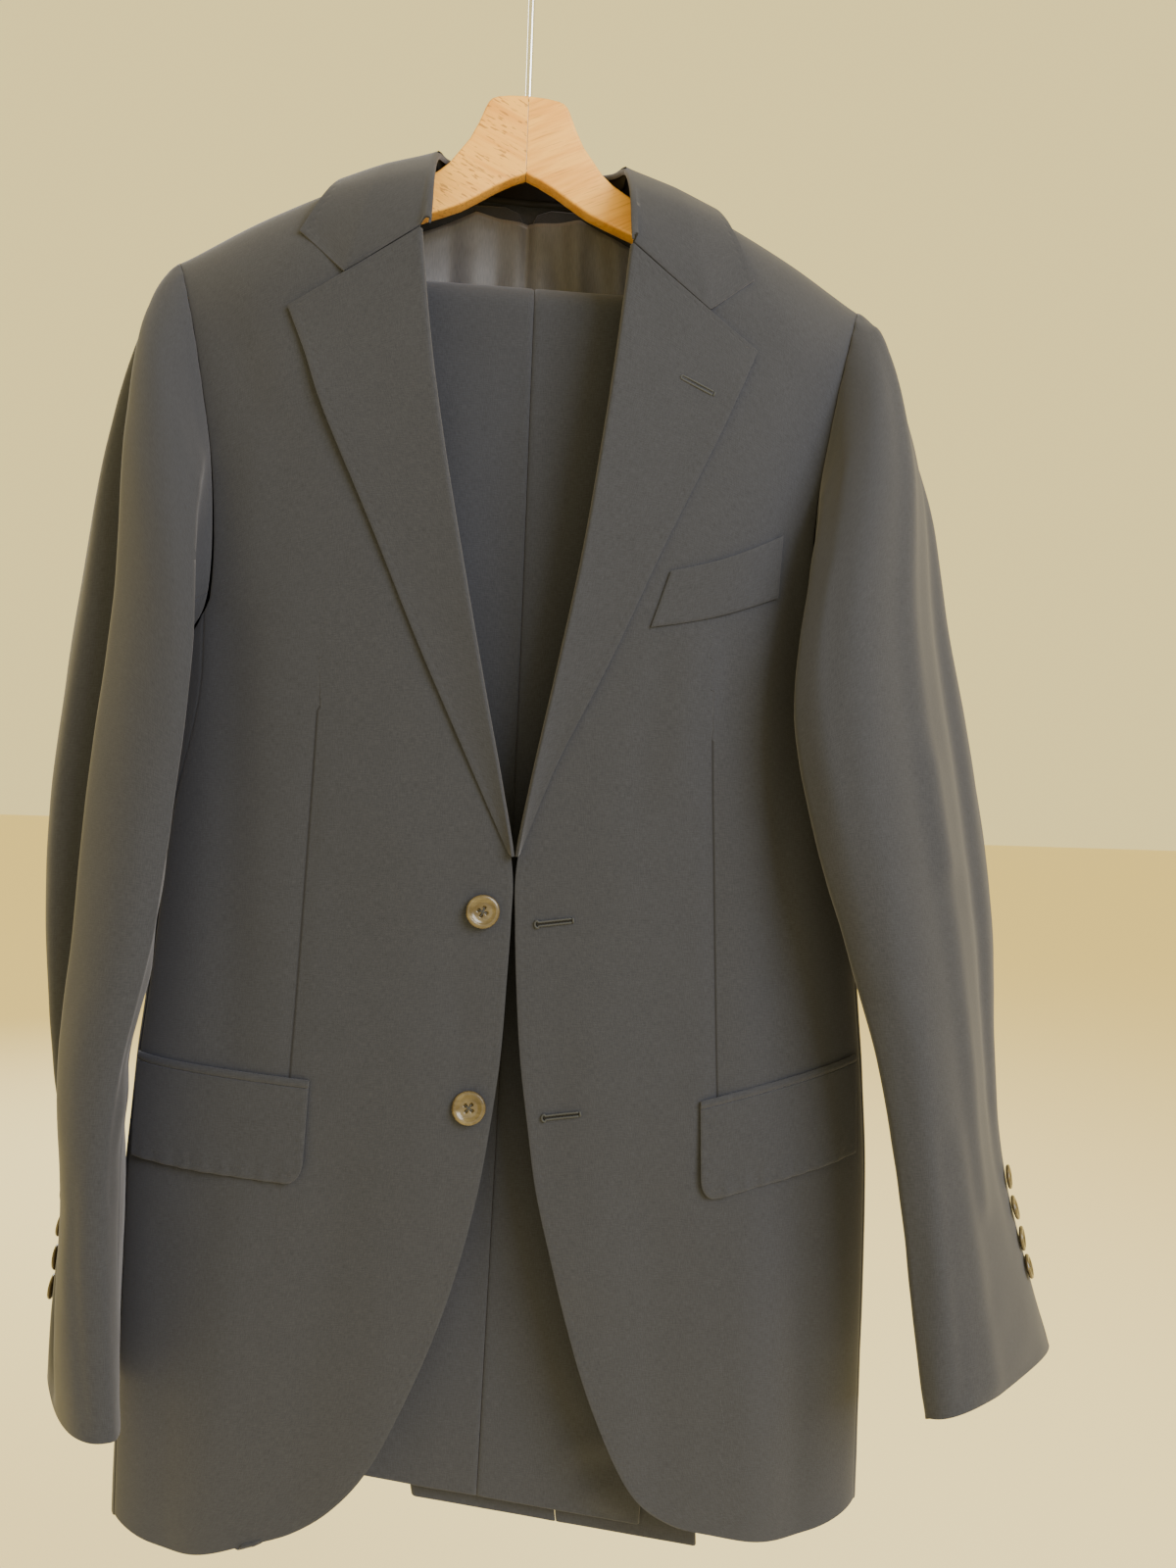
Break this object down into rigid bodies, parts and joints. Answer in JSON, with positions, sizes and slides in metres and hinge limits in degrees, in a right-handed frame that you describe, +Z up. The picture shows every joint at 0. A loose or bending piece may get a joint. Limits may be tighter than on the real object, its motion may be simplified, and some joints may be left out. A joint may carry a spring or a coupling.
{
  "type": "suit on a hanger",
  "caption": "Dark navy wool suit: notch-lapel jacket hung open on a wooden hanger, with its trousers folded over the hanger's bar inside it.",
  "frame": {"origin": "the point on the inside of the hook, at its top, that rests on the rail", "axes": "+Z up, +X to the viewer's right seen from the front, -Y out of the jacket's front"},
  "size_m": [0.6381, 0.1581, 1.0412],
  "materials": {
    "navy_wool": "fine plain-weave wool, matt with a soft nap",
    "lining_satin": "grey-mauve satin lining",
    "label_satin": "plain woven satin label, bare",
    "horn": "polished mottled brown horn",
    "beech": "clear-lacquered beech",
    "chrome": "bright plated steel wire"
  },
  "bodies": {
    "root": {"front_left": "navy_wool", "side_left": "navy_wool", "back_left": "navy_wool", "lapel_left": "navy_wool", "topsleeve_left": "navy_wool", "undersleeve_left": "navy_wool", "flap_left": "navy_wool", "flap_welt_left": "navy_wool", "front_right": "navy_wool", "side_right": "navy_wool", "back_right": "navy_wool", "lapel_right": "navy_wool", "topsleeve_right": "navy_wool", "undersleeve_right": "navy_wool", "flap_right": "navy_wool", "flap_welt_right": "navy_wool", "collar": "navy_wool", "collar_stand": "navy_wool", "breast_welt": "navy_wool", "trouser_near_front": "navy_wool", "trouser_near_back": "navy_wool", "trouser_far_front": "navy_wool", "trouser_far_back": "navy_wool", "waistband_near": "navy_wool", "waistband_far": "navy_wool", "neck_lining": "lining_satin", "neck_label": "label_satin", "front_button_1": "horn", "front_button_2": "horn", "cuff_button_left_1": "horn", "cuff_button_left_2": "horn", "cuff_button_left_3": "horn", "cuff_button_left_4": "horn", "cuff_button_right_1": "horn", "cuff_button_right_2": "horn", "cuff_button_right_3": "horn", "cuff_button_right_4": "horn", "hanger_arm_left": "beech", "hanger_arm_right": "beech", "hanger_bar": "beech", "hook": "chrome"}
  },
  "joints": []
}
